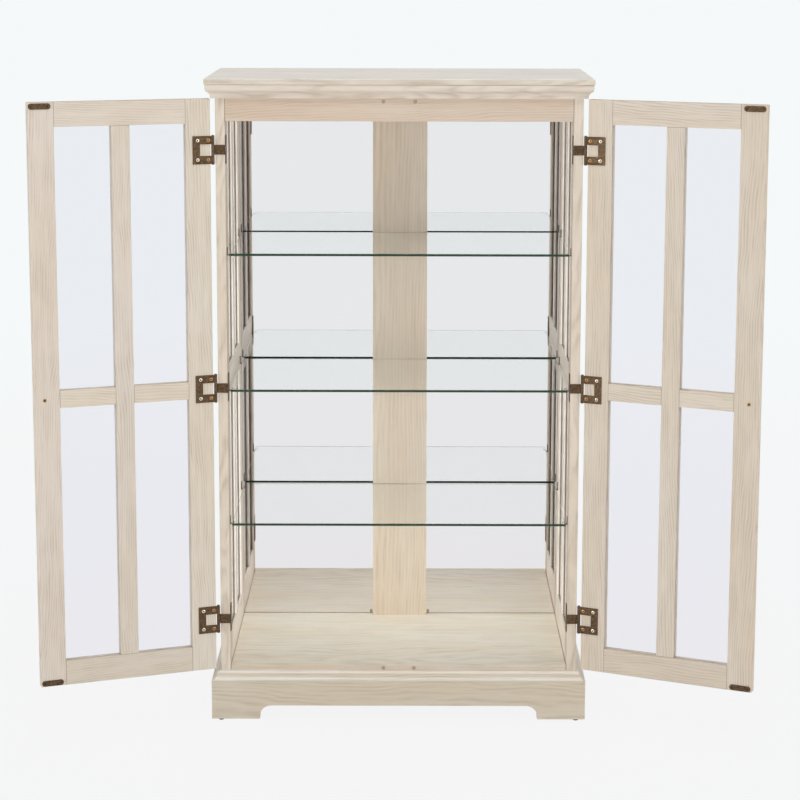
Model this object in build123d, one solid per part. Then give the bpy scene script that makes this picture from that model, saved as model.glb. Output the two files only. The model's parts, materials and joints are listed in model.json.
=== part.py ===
from build123d import *
from math import cos, pi, sin
import os

# Display cabinet with two framed glass doors, glazed sides, a mirrored back and glass shelves.
# Millimetres; +X to the right, +Y to the back, +Z up; the origin is on the floor, under the
# centre of the plinth. The doors stand open, as far as the two opening angles below say.

# Carcase
overall_height = 1365.0
body_width = 757.4
body_depth = 411.0
side_thickness = 19.8

# Top board and cornice
board_thickness = 13.0
board_overhang = 21.4
board_back_overhang = 5.0
board_nose_radius = 4.0
board_top_radius = 1.5
cornice_height = 27.0
cornice_lip_out = 9.0
cornice_lip_height = 1.7
cornice_cove_out = 17.3
cornice_cove_top = 14.2
cornice_bead_out = 19.6
cornice_bead_top = 20.4

# Rails, floor and back
top_rail_height = 74.7
top_rail_thickness = 20.0
floor_thickness = 10.5
floor_side_gap = 1.2
back_panel_thickness = 6.0
mirror_thickness = 4.0
mirror_end_gap = 2.8
mirror_side_gap = 1.0
mirror_joint_gap = 4.0
back_stile_width = 121.5
back_stile_thickness = 12.0

# Plinth
base_height = 105.9
base_projection = 19.6
base_board_thickness = 26.0
base_top_step = 1.0
base_cove_radius = 8.0
base_fillet_width = 1.0
base_back_thickness = 18.0
base_back_clearance = 36.0
foot_width = 102.0
arch_height = 29.5
arch_corner_radius = 24.0
corner_block_size = 40.0
corner_block_bevel = 22.0
glide_height = 4.0
glide_radius = 6.0
glide_edge = 1.5
glide_inset_x = 19.3
glide_inset_y = 9.0

# Side panels
side_front_stile = 56.0
side_rear_stile = 73.0
side_muntin = 38.0
side_top_rail = 78.5
side_bottom_rail = 72.1
side_middle_rise = 593.1
side_middle_rail = 58.0
side_edge_bevel = 0.6

# Doors
door_thickness = 20.0
door_top_gap = 1.5
door_bottom_gap = 5.1
door_side_reveal = 0.7
door_middle_gap = 1.5
door_stile = 52.0
door_top_rail = 50.0
door_bottom_rail = 52.0
door_muntin = 38.0
door_middle_rise = 588.5
door_middle_rail = 36.0
door_edge_bevel = 0.9
left_opening = 159.1
right_opening = 154.8

# Glass in its grooves, and the stub tenons of the frames
glass_thickness = 4.0
glass_recess = 5.0
groove_depth = 8.0
glass_clearance = 0.2
tenon_length = 10.0
tenon_thickness = 6.5
tenon_shoulder = 6.0
tenon_clearance = 0.1

# Shelves and their clips
lower_shelf_height = 423.5
middle_shelf_height = 711.9
upper_shelf_height = 999.4
shelf_thickness = 5.0
shelf_front_setback = 8.0
shelf_back_gap = 1.0
shelf_side_gap = 5.5
clip_width = 7.0
clip_plate_thickness = 1.6
clip_rise = 13.0
clip_arm_length = 11.0
clip_arm_thickness = 1.6
clip_front_inset = 25.0
clip_back_inset = 30.0
clip_peg_radius = 2.5
clip_peg_length = 9.0
clip_clearance = 0.2

# Mirror clips
mirror_clip_width = 6.0
mirror_clip_lip = 7.0
mirror_clip_thickness = 1.4
mirror_clip_gap = 1.5

# Hinges: a C-shaped leaf on the door nests round the tongue of the frame leaf
pin_forward = 3.1
pin_outside = 4.8
pin_radius = 1.5
pin_clearance = 0.05
pin_head_radius = 2.8
pin_head_height = 1.2
knuckle_radius = 3.5
knuckle_end_gap = 0.3
leaf_thickness = 2.0
leaf_height = 58.0
leaf_reach = 38.0
leaf_face_gap = 2.5
leaf_window_reach = 22.5
leaf_window_height = 24.0
tongue_height = 20.0
frame_plate_depth = 25.0
frame_plate_setback = 3.0
frame_bend_radius = 1.8
hinge_top_inset = 105.0
hinge_bottom_inset = 109.0
middle_hinge_rise = 2.0
leaf_screw_near = 5.1
leaf_screw_far = 27.6
leaf_screw_rise = 20.0
frame_screw_depth = 15.0

# Sides of small round details, of bores and their pins, and of knobs and knuckles
small_sides = 6
bore_sides = 8
turned_sides = 16

# Screws
screw_head_radius = 3.2
screw_head_depth = 1.3
screw_shank_radius = 1.6
screw_length = 13.0
screw_clearance = 0.1
knob_screw_radius = 2.0
knob_screw_head_radius = 4.0
knob_screw_head_height = 1.3
knob_screw_depth = 10.0

# Catches
magnet_radius = 4.0
magnet_length = 10.0
magnet_proud = 0.4
magnet_spacing = 65.2
magnet_top_drop = 7.0
magnet_clearance = 0.1
strike_length = 46.0
strike_width = 12.0
strike_thickness = 1.5
strike_free_inset = 0.4
strike_top_inset = 2.4
strike_bottom_inset = 1.4
strike_screw_spacing = 34.0

# Knobs
knob_free_inset = 20.5
knob_radius = 14.0
knob_foot_radius = 8.5
knob_foot_height = 2.0
knob_neck_radius = 5.5
knob_neck_height = 7.0
knob_rim_height = 16.0
knob_face_radius = 8.5
knob_height = 23.0

# Places that follow from the sizes above
half_width = body_width / 2
inner_half = half_width - side_thickness
front = -(body_depth + base_projection) / 2 + base_projection
back = front + body_depth
board_underside = overall_height - board_thickness
cornice_bottom = board_underside - cornice_height
floor_top = base_height + floor_thickness
side_height = board_underside - base_height
back_panel_front = back - back_panel_thickness
mirror_front = back_panel_front - mirror_thickness
back_stile_front = mirror_front - back_stile_thickness
pin_x = -half_width - pin_outside
pin_y = front - pin_forward
door_inner = front - leaf_face_gap
door_edge = -half_width + door_side_reveal
door_width = -door_edge - door_middle_gap / 2
door_bottom = base_height + door_bottom_gap
door_height = cornice_bottom - door_top_gap - door_bottom
door_top = door_bottom + door_height
door_middle = door_bottom + door_middle_rise + door_middle_rail / 2
hinge_heights = (
    door_bottom + hinge_bottom_inset,
    door_middle + middle_hinge_rise,
    door_top - hinge_top_inset,
)
shelf_heights = {
    "lower": lower_shelf_height,
    "middle": middle_shelf_height,
    "upper": upper_shelf_height,
}


def bar(x0, x1, y0, y1, z0, z1):
    """A straight piece between two corners."""
    middle = ((x0 + x1) / 2, (y0 + y1) / 2, (z0 + z1) / 2)
    return Pos(*middle) * Box(x1 - x0, y1 - y0, z1 - z0)


def turned(x, y, z, outline, direction, sides=small_sides):
    """A many-sided turned piece from a point, given as (distance along, radius) pairs."""
    start = Plane(origin=(x, y, z), z_dir=direction)
    step = 2 * pi / sides
    rings = []
    for distance, radius in outline:
        corners = [(radius * cos(step * k), radius * sin(step * k), distance) for k in range(sides)]
        rings.append([start.from_local_coords(corner) for corner in corners])
    outlines = [rings[0], rings[-1]]
    for near, far in zip(rings, rings[1:]):
        for k in range(sides):
            outlines.append([near[k - 1], near[k], far[k], far[k - 1]])
    return Solid(Shell([Face(Wire.make_polygon(corners)) for corners in outlines]))


def group(solids):
    """Like pieces kept as separate solids under one name."""
    return Compound(children=[solid for shape in solids for solid in shape.solids()])


def mirrored(shape):
    """The same piece on the other side of the cabinet."""
    return mirror(shape, about=Plane.YZ)


def pair(shape):
    """A piece and its twin on the other side."""
    return [shape, mirrored(shape)]


def edges_at(shape, axis, places):
    """Edges parallel to one axis that lie on all the given (axis, position) planes."""
    chosen = shape.edges().filter_by(axis)
    for other, position in places:
        chosen = chosen.filter_by_position(other, position - 0.01, position + 0.01)
    return chosen


def glazed_frame(width, height, thickness, first_stile, last_stile, top_rail, bottom_rail,
                 muntin, middle_low, middle_rail, edge_bevel):
    """Members of a frame with four panes. X runs across from the first stile and Z up from the
    foot; the inner face is at Y zero and the outer face at minus the thickness. The edges all
    round the outside have a small bevel."""
    left = first_stile
    right = width - last_stile
    low = bottom_rail
    high = height - top_rail
    bar_left = (left + right - muntin) / 2
    bar_right = bar_left + muntin
    middle_high = middle_low + middle_rail
    tenon_back = -(thickness + tenon_thickness) / 2
    tenon_front = tenon_back + tenon_thickness

    members = {
        "hinge_stile": bar(0, left, -thickness, 0, 0, height),
        "free_stile": bar(right, width, -thickness, 0, 0, height),
        "top_rail": bar(left, right, -thickness, 0, high, height),
        "bottom_rail": bar(left, right, -thickness, 0, 0, low),
        "muntin": bar(bar_left, bar_right, -thickness, 0, low, high),
        "middle_rail_1": bar(left, bar_left, -thickness, 0, middle_low, middle_high),
        "middle_rail_2": bar(bar_right, right, -thickness, 0, middle_low, middle_high),
    }

    for name, x in (("hinge_stile", 0), ("free_stile", width)):
        stile = members[name]
        edges = edges_at(stile, Axis.Z, [(Axis.X, x)]) + stile.edges().filter_by(Axis.X)
        members[name] = chamfer(edges, edge_bevel)
    for name, z in (("top_rail", height), ("bottom_rail", 0)):
        members[name] = chamfer(edges_at(members[name], Axis.X, [(Axis.Z, z)]), edge_bevel)

    def across(member, x_end, way, z0, z1, receiver):
        """A stub tenon at one end of a rail, and its mortise."""
        x_tip = x_end + way * tenon_length
        ends = sorted((x_end, x_tip))
        foot = z0 + tenon_shoulder
        head = z1 - tenon_shoulder
        tenon = bar(*ends, tenon_back, tenon_front, foot, head)
        gap = tenon_clearance
        hole_ends = sorted((x_end, x_tip + way * gap))
        mortise = bar(*hole_ends, tenon_back - gap, tenon_front + gap, foot - gap, head + gap)
        members[member] = members[member] + tenon
        members[receiver] = members[receiver] - mortise

    def upright(z_end, way, receiver):
        """The same at one end of the muntin."""
        z_tip = z_end + way * tenon_length
        ends = sorted((z_end, z_tip))
        near = bar_left + tenon_shoulder
        far = bar_right - tenon_shoulder
        tenon = bar(near, far, tenon_back, tenon_front, *ends)
        gap = tenon_clearance
        hole_ends = sorted((z_end, z_tip + way * gap))
        mortise = bar(near - gap, far + gap, tenon_back - gap, tenon_front + gap, *hole_ends)
        members["muntin"] = members["muntin"] + tenon
        members[receiver] = members[receiver] - mortise

    for name, z0, z1 in (("top_rail", high, height), ("bottom_rail", 0, low)):
        across(name, left, -1, z0, z1, "hinge_stile")
        across(name, right, 1, z0, z1, "free_stile")
    across("middle_rail_1", left, -1, middle_low, middle_high, "hinge_stile")
    across("middle_rail_1", bar_left, 1, middle_low, middle_high, "muntin")
    across("middle_rail_2", bar_right, -1, middle_low, middle_high, "muntin")
    across("middle_rail_2", right, 1, middle_low, middle_high, "free_stile")
    upright(low, -1, "bottom_rail")
    upright(high, 1, "top_rail")

    panes = []
    glass_front = -glass_recess
    glass_back = glass_front - glass_thickness
    for x0, x1 in ((left, bar_left), (bar_right, right)):
        for z0, z1 in ((low, middle_low), (middle_high, high)):
            edge = groove_depth
            panes.append(bar(x0 - edge, x1 + edge, glass_back, glass_front, z0 - edge, z1 + edge))
            edge = groove_depth + glass_clearance
            seat = bar(
                x0 - edge, x1 + edge, glass_back - glass_clearance, glass_front + glass_clearance,
                z0 - edge, z1 + edge,
            )
            members = {name: member - seat for name, member in members.items()}

    members["middle_rails"] = group([members.pop("middle_rail_1"), members.pop("middle_rail_2")])
    members["glass"] = group(panes)
    return members


def screw_outline(gap):
    """Countersunk head and shank, with a gap all round them."""
    shank = screw_shank_radius + gap
    return ((0, screw_head_radius + gap), (screw_head_depth, shank), (screw_length + gap, shank))


def screw(x, y, z, direction):
    """A screw with its head flush at the point and its shank running the given way."""
    return turned(x, y, z, screw_outline(0), direction)


def screw_hole(x, y, z, direction):
    """The countersunk hole that a screw sits in."""
    return turned(x, y, z, screw_outline(screw_clearance), direction)


# Boards and mouldings run full length and are cut to their mitres by these outlines, seen from above
def mitre_front(out, inner):
    """From the outer line of the front to its inner line."""
    wide = half_width + out
    narrow = half_width + inner
    corners = [(-wide, front - out), (wide, front - out), (narrow, front - inner), (-narrow, front - inner)]
    return make_face(Polyline(*corners, close=True))


def mitre_right(out, inner):
    """The same for the right side, square at the back."""
    wide = half_width + out
    narrow = half_width + inner
    corners = [(wide, front - out), (wide, back), (narrow, back), (narrow, front - inner)]
    return make_face(Polyline(*corners, close=True))


def run_front(profile, out, inner):
    """A profile drawn as (distance out from the body, height), run along the front."""
    plane = Plane(origin=(half_width + out, front, 0), x_dir=(0, -1, 0), z_dir=(-1, 0, 0))
    blank = extrude(plane * profile, body_width + 2 * out)
    return blank & extrude(mitre_front(out, inner), overall_height)


def run_right(profile, out, inner):
    """The same profile run along the right side."""
    plane = Plane(origin=(half_width, back, 0), x_dir=(1, 0, 0), z_dir=(0, -1, 0))
    blank = extrude(plane * profile, body_depth + out)
    return blank & extrude(mitre_right(out, inner), overall_height)


# Cornice: a lip, a cove, a small bead and a flat under the top board
def cornice_profile():
    lip = (cornice_lip_out, cornice_bottom + cornice_lip_height)
    arris = (cornice_cove_out, cornice_bottom + cornice_cove_top)
    crown = (cornice_bead_out, cornice_bottom + cornice_bead_top)
    cove = TangentArc(lip, arris, tangent=(0, 1))
    bead = TangentArc(crown, arris, tangent=(0, -1))
    rest = Polyline(
        crown, (cornice_bead_out, board_underside), (0, board_underside), (0, cornice_bottom),
        (cornice_lip_out, cornice_bottom), lip,
    )
    return make_face(cove + bead + rest)


# Plinth: a cove, a narrow fillet and an ovolo run down to a flat face
def base_profile():
    top = base_height
    ovolo_radius = base_projection - base_top_step - base_cove_radius - base_fillet_width
    inner = base_projection - base_board_thickness
    cove_out = base_top_step + base_cove_radius
    ovolo_start = cove_out + base_fillet_width
    ovolo_top = top - base_cove_radius
    cove = RadiusArc((base_top_step, top), (cove_out, ovolo_top), base_cove_radius)
    fillet_line = Line((cove_out, ovolo_top), (ovolo_start, ovolo_top))
    ovolo = RadiusArc(
        (ovolo_start, ovolo_top), (base_projection, ovolo_top - ovolo_radius), -ovolo_radius,
    )
    rest = Polyline(
        (base_projection, ovolo_top - ovolo_radius), (base_projection, glide_height),
        (inner, glide_height), (inner, top), (base_top_step, top),
    )
    return make_face(cove + fillet_line + ovolo + rest)


def arch(length):
    """The opening between two bracket feet, with rounded upper corners, centred on its length."""
    span = length - 2 * foot_width
    top = glide_height + arch_height
    blank = Rectangle(span, 2 * arch_height)
    blank = fillet(blank.vertices(), arch_corner_radius)
    return Pos(0, top - arch_height) * blank


top_board = bar(
    -half_width - board_overhang, half_width + board_overhang,
    front - board_overhang, back + board_back_overhang, board_underside, overall_height,
)
for level, end, radius in (
    (board_underside, 0, board_nose_radius),
    (overall_height, -1, board_top_radius),
):
    front_edge = edges_at(top_board, Axis.X, [(Axis.Y, front - board_overhang), (Axis.Z, level)])
    side_edges = top_board.edges().filter_by(Axis.Y).group_by(Axis.Z)[end]
    top_board = fillet(front_edge + side_edges, radius)

cornice_front = run_front(cornice_profile(), cornice_bead_out, 0)
cornice_right = run_right(cornice_profile(), cornice_bead_out, 0)

front_top_rail = bar(
    -inner_half, inner_half, front, front + top_rail_thickness,
    board_underside - top_rail_height, board_underside,
)

base_inner = base_projection - base_board_thickness
base_front = run_front(base_profile(), base_projection, base_inner)
front_face = Plane(origin=(0, front - base_projection, 0), x_dir=(1, 0, 0), z_dir=(0, -1, 0))
base_front -= extrude(front_face * arch(body_width + 2 * base_projection), -base_board_thickness)
base_right = run_right(base_profile(), base_projection, base_inner)
side_face = Plane(origin=(half_width + base_projection, 0, 0), x_dir=(0, 1, 0), z_dir=(1, 0, 0))
base_right -= extrude(side_face * arch(body_depth + base_projection), -base_board_thickness)
board_inner_x = half_width + base_inner
base_back = bar(
    -board_inner_x, board_inner_x, back - base_back_thickness, back,
    glide_height + base_back_clearance, base_height,
)
block_back = back - base_back_thickness
corner_blocks = []
for y0 in (front - base_inner, block_back - corner_block_size):
    block = bar(
        board_inner_x - corner_block_size, board_inner_x, y0, y0 + corner_block_size,
        glide_height + arch_height, base_height,
    )
    inner_corner = block.edges().filter_by(Axis.Z).sort_by(lambda edge: edge.center().length)[0]
    block = chamfer(inner_corner, corner_block_bevel)
    corner_blocks += pair(block)

glides = []
glide_x = half_width + base_projection - glide_inset_x
for y in (front - base_projection + glide_inset_y, back - glide_inset_x):
    outline = ((0, glide_radius - glide_edge), (glide_edge, glide_radius), (glide_height, glide_radius))
    glides += pair(turned(glide_x, y, 0, outline, (0, 0, 1), turned_sides))

floor_panel = bar(
    -inner_half + floor_side_gap, inner_half - floor_side_gap, front, back_panel_front,
    base_height, floor_top,
)
back_panel = bar(-inner_half, inner_half, back_panel_front, back, base_height, board_underside)
mirror_low = floor_top + mirror_end_gap
mirror_high = board_underside - mirror_end_gap
mirror_right = bar(
    mirror_joint_gap / 2, inner_half - mirror_side_gap, mirror_front, back_panel_front,
    mirror_low, mirror_high,
)
back_stile = bar(
    -back_stile_width / 2, back_stile_width / 2, back_stile_front, mirror_front,
    floor_top, board_underside,
)

# Each mirror is held beside the stile, at its foot and head, by a small bent clip on the back panel
mirror_clips = []
clip_inner = back_stile_width / 2 + mirror_clip_gap
clip_outer = clip_inner + mirror_clip_width
for edge_z, way in ((mirror_low, 1), (mirror_high, -1)):
    under = edge_z - way * clip_clearance
    leg_z = sorted((under, under - way * mirror_clip_thickness))
    lip_z = sorted((under - way * mirror_clip_thickness, edge_z + way * mirror_clip_lip))
    lip_back = mirror_front - clip_clearance
    lip_front = lip_back - mirror_clip_thickness
    leg = bar(clip_inner, clip_outer, lip_front, back_panel_front, *leg_z)
    lip = bar(clip_inner, clip_outer, lip_front, lip_back, *lip_z)
    mirror_clips += pair(leg + lip)

# Side panels: built flat, then stood up on the right and mirrored to the left
side = glazed_frame(
    body_depth, side_height, side_thickness, side_front_stile, side_rear_stile, side_top_rail,
    side_bottom_rail, side_muntin, side_middle_rise, side_middle_rail, side_edge_bevel,
)
side_names = {"hinge_stile": "front_stile", "free_stile": "rear_stile"}
side_place = Pos(inner_half, front, base_height) * Rot(0, 0, 90)
right_side = {side_names.get(name, name): side_place * member for name, member in side.items()}

# Shelves, and clips with a peg in the stile, a plate behind the glass and an arm under it
shelves = {}
shelf_clips = []
peg_holes = []
shelf_front = front + shelf_front_setback
shelf_back = back_stile_front - shelf_back_gap
for name, height in shelf_heights.items():
    low = height - shelf_thickness / 2
    shelves[name] = bar(
        -inner_half + shelf_side_gap, inner_half - shelf_side_gap, shelf_front, shelf_back,
        low, low + shelf_thickness,
    )
    arm_top = low - clip_clearance
    peg_z = height + shelf_thickness / 2 + clip_rise / 2
    for y in (shelf_front + clip_front_inset, shelf_back - clip_back_inset):
        y0 = y - clip_width / 2
        y1 = y + clip_width / 2
        plate = bar(
            inner_half - clip_plate_thickness, inner_half, y0, y1,
            arm_top - clip_arm_thickness, height + clip_rise,
        )
        arm = bar(
            inner_half - clip_arm_length, inner_half, y0, y1, arm_top - clip_arm_thickness, arm_top,
        )
        peg_start = inner_half - clip_plate_thickness
        outline = ((0, clip_peg_radius), (clip_peg_length, clip_peg_radius))
        peg = turned(peg_start, y, peg_z, outline, (1, 0, 0))
        hole_radius = clip_peg_radius + clip_clearance
        outline = ((0, hole_radius), (clip_peg_length, hole_radius))
        shelf_clips += pair(plate + arm + peg)
        peg_holes.append(turned(inner_half, y, peg_z, outline, (1, 0, 0)))
for hole in peg_holes:
    for name in ("front_stile", "rear_stile"):
        right_side[name] = right_side[name] - hole

# Hinges of the left door, drawn with the door closed
knuckle_low = leaf_window_height / 2
knuckle_length = (leaf_height - leaf_window_height) / 2
bore_radius = (pin_radius + pin_clearance) / cos(pi / bore_sides)
leaf_front = door_inner
leaf_back = door_inner + leaf_thickness
leaf_end = door_edge + leaf_reach
window_end = door_edge + leaf_window_reach
plate_inner = -inner_half + leaf_thickness
pin_reach = leaf_height / 2 + knuckle_end_gap


def knuckle(low, length):
    """A length of the hinge's barrel, solid until it is bored."""
    outline = ((0, knuckle_radius), (length, knuckle_radius))
    return turned(pin_x, pin_y, low, outline, (0, 0, 1), turned_sides)


def bore(z):
    """The hole for a pin, longer than the leaf; the pin turns inside its flats."""
    outline = ((0, bore_radius), (2 * leaf_height, bore_radius))
    return turned(pin_x, pin_y, z - leaf_height, outline, (0, 0, 1), bore_sides)


def door_leaf(z):
    leaf = bar(pin_x, leaf_end, leaf_front, leaf_back, z - leaf_height / 2, z + leaf_height / 2)
    window_start = pin_x - knuckle_radius
    window = bar(window_start, window_end, leaf_front, leaf_back, z - knuckle_low, z + knuckle_low)
    leaf -= window
    for z0 in (z + knuckle_low, z - leaf_height / 2):
        leaf += knuckle(z0, knuckle_length)
    return leaf - bore(z)


def frame_leaf(z):
    tongue = bar(
        pin_x, plate_inner, front - leaf_thickness, front + frame_plate_setback,
        z - tongue_height / 2, z + tongue_height / 2,
    )
    tongue -= bar(
        pin_x, -inner_half, front, front + frame_plate_setback,
        z - tongue_height / 2, z + tongue_height / 2,
    )
    bend = edges_at(tongue, Axis.Z, [(Axis.X, plate_inner), (Axis.Y, front - leaf_thickness)])
    tongue = fillet(bend, frame_bend_radius)
    plate = bar(
        -inner_half, plate_inner, front + frame_plate_setback, front + frame_plate_depth,
        z - leaf_height / 2, z + leaf_height / 2,
    )
    leaf = tongue + plate
    knuckle_half = knuckle_low - knuckle_end_gap
    leaf += knuckle(z - knuckle_half, 2 * knuckle_half)
    return leaf - bore(z)


def hinge_pin(z):
    foot = pin_head_height
    head = foot + 2 * pin_reach
    outline = (
        (0, pin_head_radius), (foot, pin_head_radius), (foot, pin_radius), (head, pin_radius),
        (head, pin_head_radius), (head + pin_head_height, pin_head_radius),
    )
    return turned(pin_x, pin_y, z - pin_reach - foot, outline, (0, 0, 1), bore_sides)


door_leaves = []
frame_leaves = []
hinge_pins = []
door_screws = []
door_screw_holes = []
frame_screws = []
frame_screw_holes = []
for z in hinge_heights:
    leaf = door_leaf(z)
    for reach in (leaf_screw_near, leaf_screw_far):
        for rise in (-leaf_screw_rise, leaf_screw_rise):
            place = (door_edge + reach, leaf_back, z + rise)
            leaf -= screw_hole(*place, (0, -1, 0))
            door_screws.append(screw(*place, (0, -1, 0)))
            door_screw_holes.append(screw_hole(*place, (0, -1, 0)))
    door_leaves.append(leaf)
    leaf = frame_leaf(z)
    for rise in (-leaf_screw_rise, leaf_screw_rise):
        place = (plate_inner, front + frame_screw_depth, z + rise)
        leaf -= screw_hole(*place, (-1, 0, 0))
        frame_screws.append(screw(*place, (-1, 0, 0)))
        frame_screw_holes.append(screw_hole(*place, (-1, 0, 0)))
    frame_leaves.append(leaf)
    hinge_pins.append(hinge_pin(z))

for hole in frame_screw_holes:
    right_side["front_stile"] = right_side["front_stile"] - mirrored(hole)

# Magnets in the top rail and in the floor's front edge
magnets = []
top_magnet_z = cornice_bottom - magnet_top_drop
for z in (top_magnet_z, (base_height + floor_top) / 2):
    x = magnet_spacing / 2
    outline = ((0, magnet_radius), (magnet_length, magnet_radius))
    magnets += pair(turned(x, front - magnet_proud, z, outline, (0, 1, 0), turned_sides))
    hole_radius = magnet_radius + magnet_clearance
    hole_length = magnet_length - magnet_proud + magnet_clearance
    outline = ((0, hole_radius), (hole_length, hole_radius))
    for hole in pair(turned(x, front, z, outline, (0, 1, 0), turned_sides)):
        front_top_rail -= hole
        floor_panel -= hole

# Left door, drawn closed
door = glazed_frame(
    door_width, door_height, door_thickness, door_stile, door_stile, door_top_rail,
    door_bottom_rail, door_muntin, door_middle_rise, door_middle_rail, door_edge_bevel,
)
door = {name: Pos(door_edge, door_inner, door_bottom) * member for name, member in door.items()}
door_free = door_edge + door_width

strikes = []
strike_x = door_free - strike_free_inset - strike_length / 2
strike_end = strike_width / 2
strike_straight = strike_length / 2 - strike_end
strike_levels = (
    door_top - strike_top_inset - strike_width / 2,
    door_bottom + strike_bottom_inset + strike_width / 2,
)
for z in strike_levels:
    strike = bar(
        strike_x - strike_straight, strike_x + strike_straight,
        door_inner, door_inner + strike_thickness, z - strike_end, z + strike_end,
    )
    outline = ((0, strike_end), (strike_thickness, strike_end))
    for x in (strike_x - strike_straight, strike_x + strike_straight):
        strike += turned(x, door_inner, z, outline, (0, 1, 0), turned_sides)
    for shift in (-strike_screw_spacing / 2, strike_screw_spacing / 2):
        place = (strike_x + shift, door_inner + strike_thickness, z)
        strike -= screw_hole(*place, (0, -1, 0))
        door_screws.append(screw(*place, (0, -1, 0)))
        door_screw_holes.append(screw_hole(*place, (0, -1, 0)))
    strikes.append(strike)

knob_x = door_free - knob_free_inset
door_outer = door_inner - door_thickness
outward = (0, -1, 0)
knob_outline = (
    (0, knob_foot_radius), (knob_foot_height, knob_foot_radius), (knob_neck_height, knob_neck_radius),
    (knob_rim_height, knob_radius), (knob_height, knob_face_radius),
)
knob = turned(knob_x, door_outer, door_middle, knob_outline, outward, turned_sides)
knob_hole_radius = knob_screw_radius + screw_clearance
knob_screw_reach = door_thickness + knob_screw_depth
outline = ((0, knob_hole_radius), (knob_screw_reach + screw_clearance, knob_hole_radius))
knob_hole = turned(knob_x, door_inner, door_middle, outline, outward)
knob -= knob_hole
outline = (
    (0, knob_screw_head_radius), (knob_screw_head_height, knob_screw_head_radius),
    (knob_screw_head_height, knob_screw_radius),
    (knob_screw_head_height + knob_screw_reach, knob_screw_radius),
)
knob_head = door_inner + knob_screw_head_height
door_screws.append(turned(knob_x, knob_head, door_middle, outline, outward))

for hole in door_screw_holes:
    for name in ("hinge_stile", "free_stile"):
        door[name] = door[name] - hole
door["free_stile"] = door["free_stile"] - knob_hole
door["knob"] = knob
door["strike_plates"] = group(strikes)
door["hinge_leaves"] = group(door_leaves)
door["screws"] = group(door_screws)

nodes = {
    "top_board": top_board,
    "cornice_front": cornice_front,
    "cornice_left": mirrored(cornice_right),
    "cornice_right": cornice_right,
    "front_top_rail": front_top_rail,
    "floor_panel": floor_panel,
    "base_front": base_front,
    "base_left": mirrored(base_right),
    "base_right": base_right,
    "base_back": base_back,
    "base_corner_blocks": group(corner_blocks),
    "glides": group(glides),
    "mirrors": group(pair(mirror_right)),
    "back_stile": back_stile,
    "back_panel": back_panel,
    "mirror_clips": group(mirror_clips),
    "shelf_clips": group(shelf_clips),
    "magnets": group(magnets),
    "frame_hinge_leaves": group([twin for leaf in frame_leaves for twin in pair(leaf)]),
    "frame_hinge_screws": group([twin for piece in frame_screws for twin in pair(piece)]),
    "hinge_pins": group([twin for pin in hinge_pins for twin in pair(pin)]),
}
for name, shelf in shelves.items():
    nodes["shelf_" + name] = shelf
for name, member in right_side.items():
    nodes["right_side_" + name] = member
    nodes["left_side_" + name] = mirrored(member)

# The left door turns on its pins to its open place, and the right door is its mirror image
left_axis = Axis((pin_x, pin_y, 0), (0, 0, 1))
right_axis = Axis((-pin_x, pin_y, 0), (0, 0, 1))
for name, member in door.items():
    nodes["left_door_" + name] = member.rotate(left_axis, -left_opening)
    nodes["right_door_" + name] = mirrored(member).rotate(right_axis, right_opening)

os.makedirs("parts", exist_ok=True)
for name, shape in nodes.items():
    export_step(shape, "parts/" + name + ".step")
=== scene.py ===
import bmesh
import bpy
import json
import math
from mathutils import Matrix, Vector


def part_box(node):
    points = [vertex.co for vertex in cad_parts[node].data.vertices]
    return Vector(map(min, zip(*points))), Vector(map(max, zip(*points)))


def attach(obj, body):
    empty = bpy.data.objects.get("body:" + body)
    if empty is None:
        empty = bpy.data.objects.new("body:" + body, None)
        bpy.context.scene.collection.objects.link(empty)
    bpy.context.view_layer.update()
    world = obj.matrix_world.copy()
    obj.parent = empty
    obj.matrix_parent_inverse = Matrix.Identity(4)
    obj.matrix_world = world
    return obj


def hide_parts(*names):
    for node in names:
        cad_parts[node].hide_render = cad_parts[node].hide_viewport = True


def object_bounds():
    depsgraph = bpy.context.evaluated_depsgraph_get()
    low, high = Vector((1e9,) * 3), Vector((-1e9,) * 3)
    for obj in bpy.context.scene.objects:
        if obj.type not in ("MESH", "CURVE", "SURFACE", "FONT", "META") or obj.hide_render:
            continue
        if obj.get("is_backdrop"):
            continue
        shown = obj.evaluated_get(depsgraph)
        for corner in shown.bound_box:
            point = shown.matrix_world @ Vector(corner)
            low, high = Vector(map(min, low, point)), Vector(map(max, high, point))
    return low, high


# Display cabinet of whitewashed oak with two framed glass doors, glazed sides, mirrored back and
# glass shelves. Metres, as the frame; the front looks towards -Y and the doors stand open.
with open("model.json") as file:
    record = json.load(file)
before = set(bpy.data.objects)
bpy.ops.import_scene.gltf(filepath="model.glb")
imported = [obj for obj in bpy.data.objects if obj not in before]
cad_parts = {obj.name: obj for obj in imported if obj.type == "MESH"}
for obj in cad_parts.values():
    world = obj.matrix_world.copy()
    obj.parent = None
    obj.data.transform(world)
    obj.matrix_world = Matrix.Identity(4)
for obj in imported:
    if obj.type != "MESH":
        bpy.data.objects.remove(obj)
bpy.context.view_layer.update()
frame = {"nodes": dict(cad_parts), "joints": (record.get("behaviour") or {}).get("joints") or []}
bpy.ops.object.select_all(action="DESELECT")

# Plinth: solid oak boards with a moulded top edge, mitred at the front corners, sawn out below into
# bracket feet and glued to corner blocks. The wood is brushed, washed with a pale stain and lacquered.
SIDEWAYS = Vector((1, 0, 0))
DEPTHWISE = Vector((0, 1, 0))
UPRIGHT = Vector((0, 0, 1))

# Waves per metre of the patterns in the wood, along the grain and across it.
RING_WANDER = (2.6, 8.0, 8.0)
PORES = (22.0, 750.0, 750.0)
STREAKS = (4.0, 210.0, 210.0)
CLOUDS = (2.2, 13.0, 13.0)
BREAKS = (11.0, 55.0, 55.0)

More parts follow.
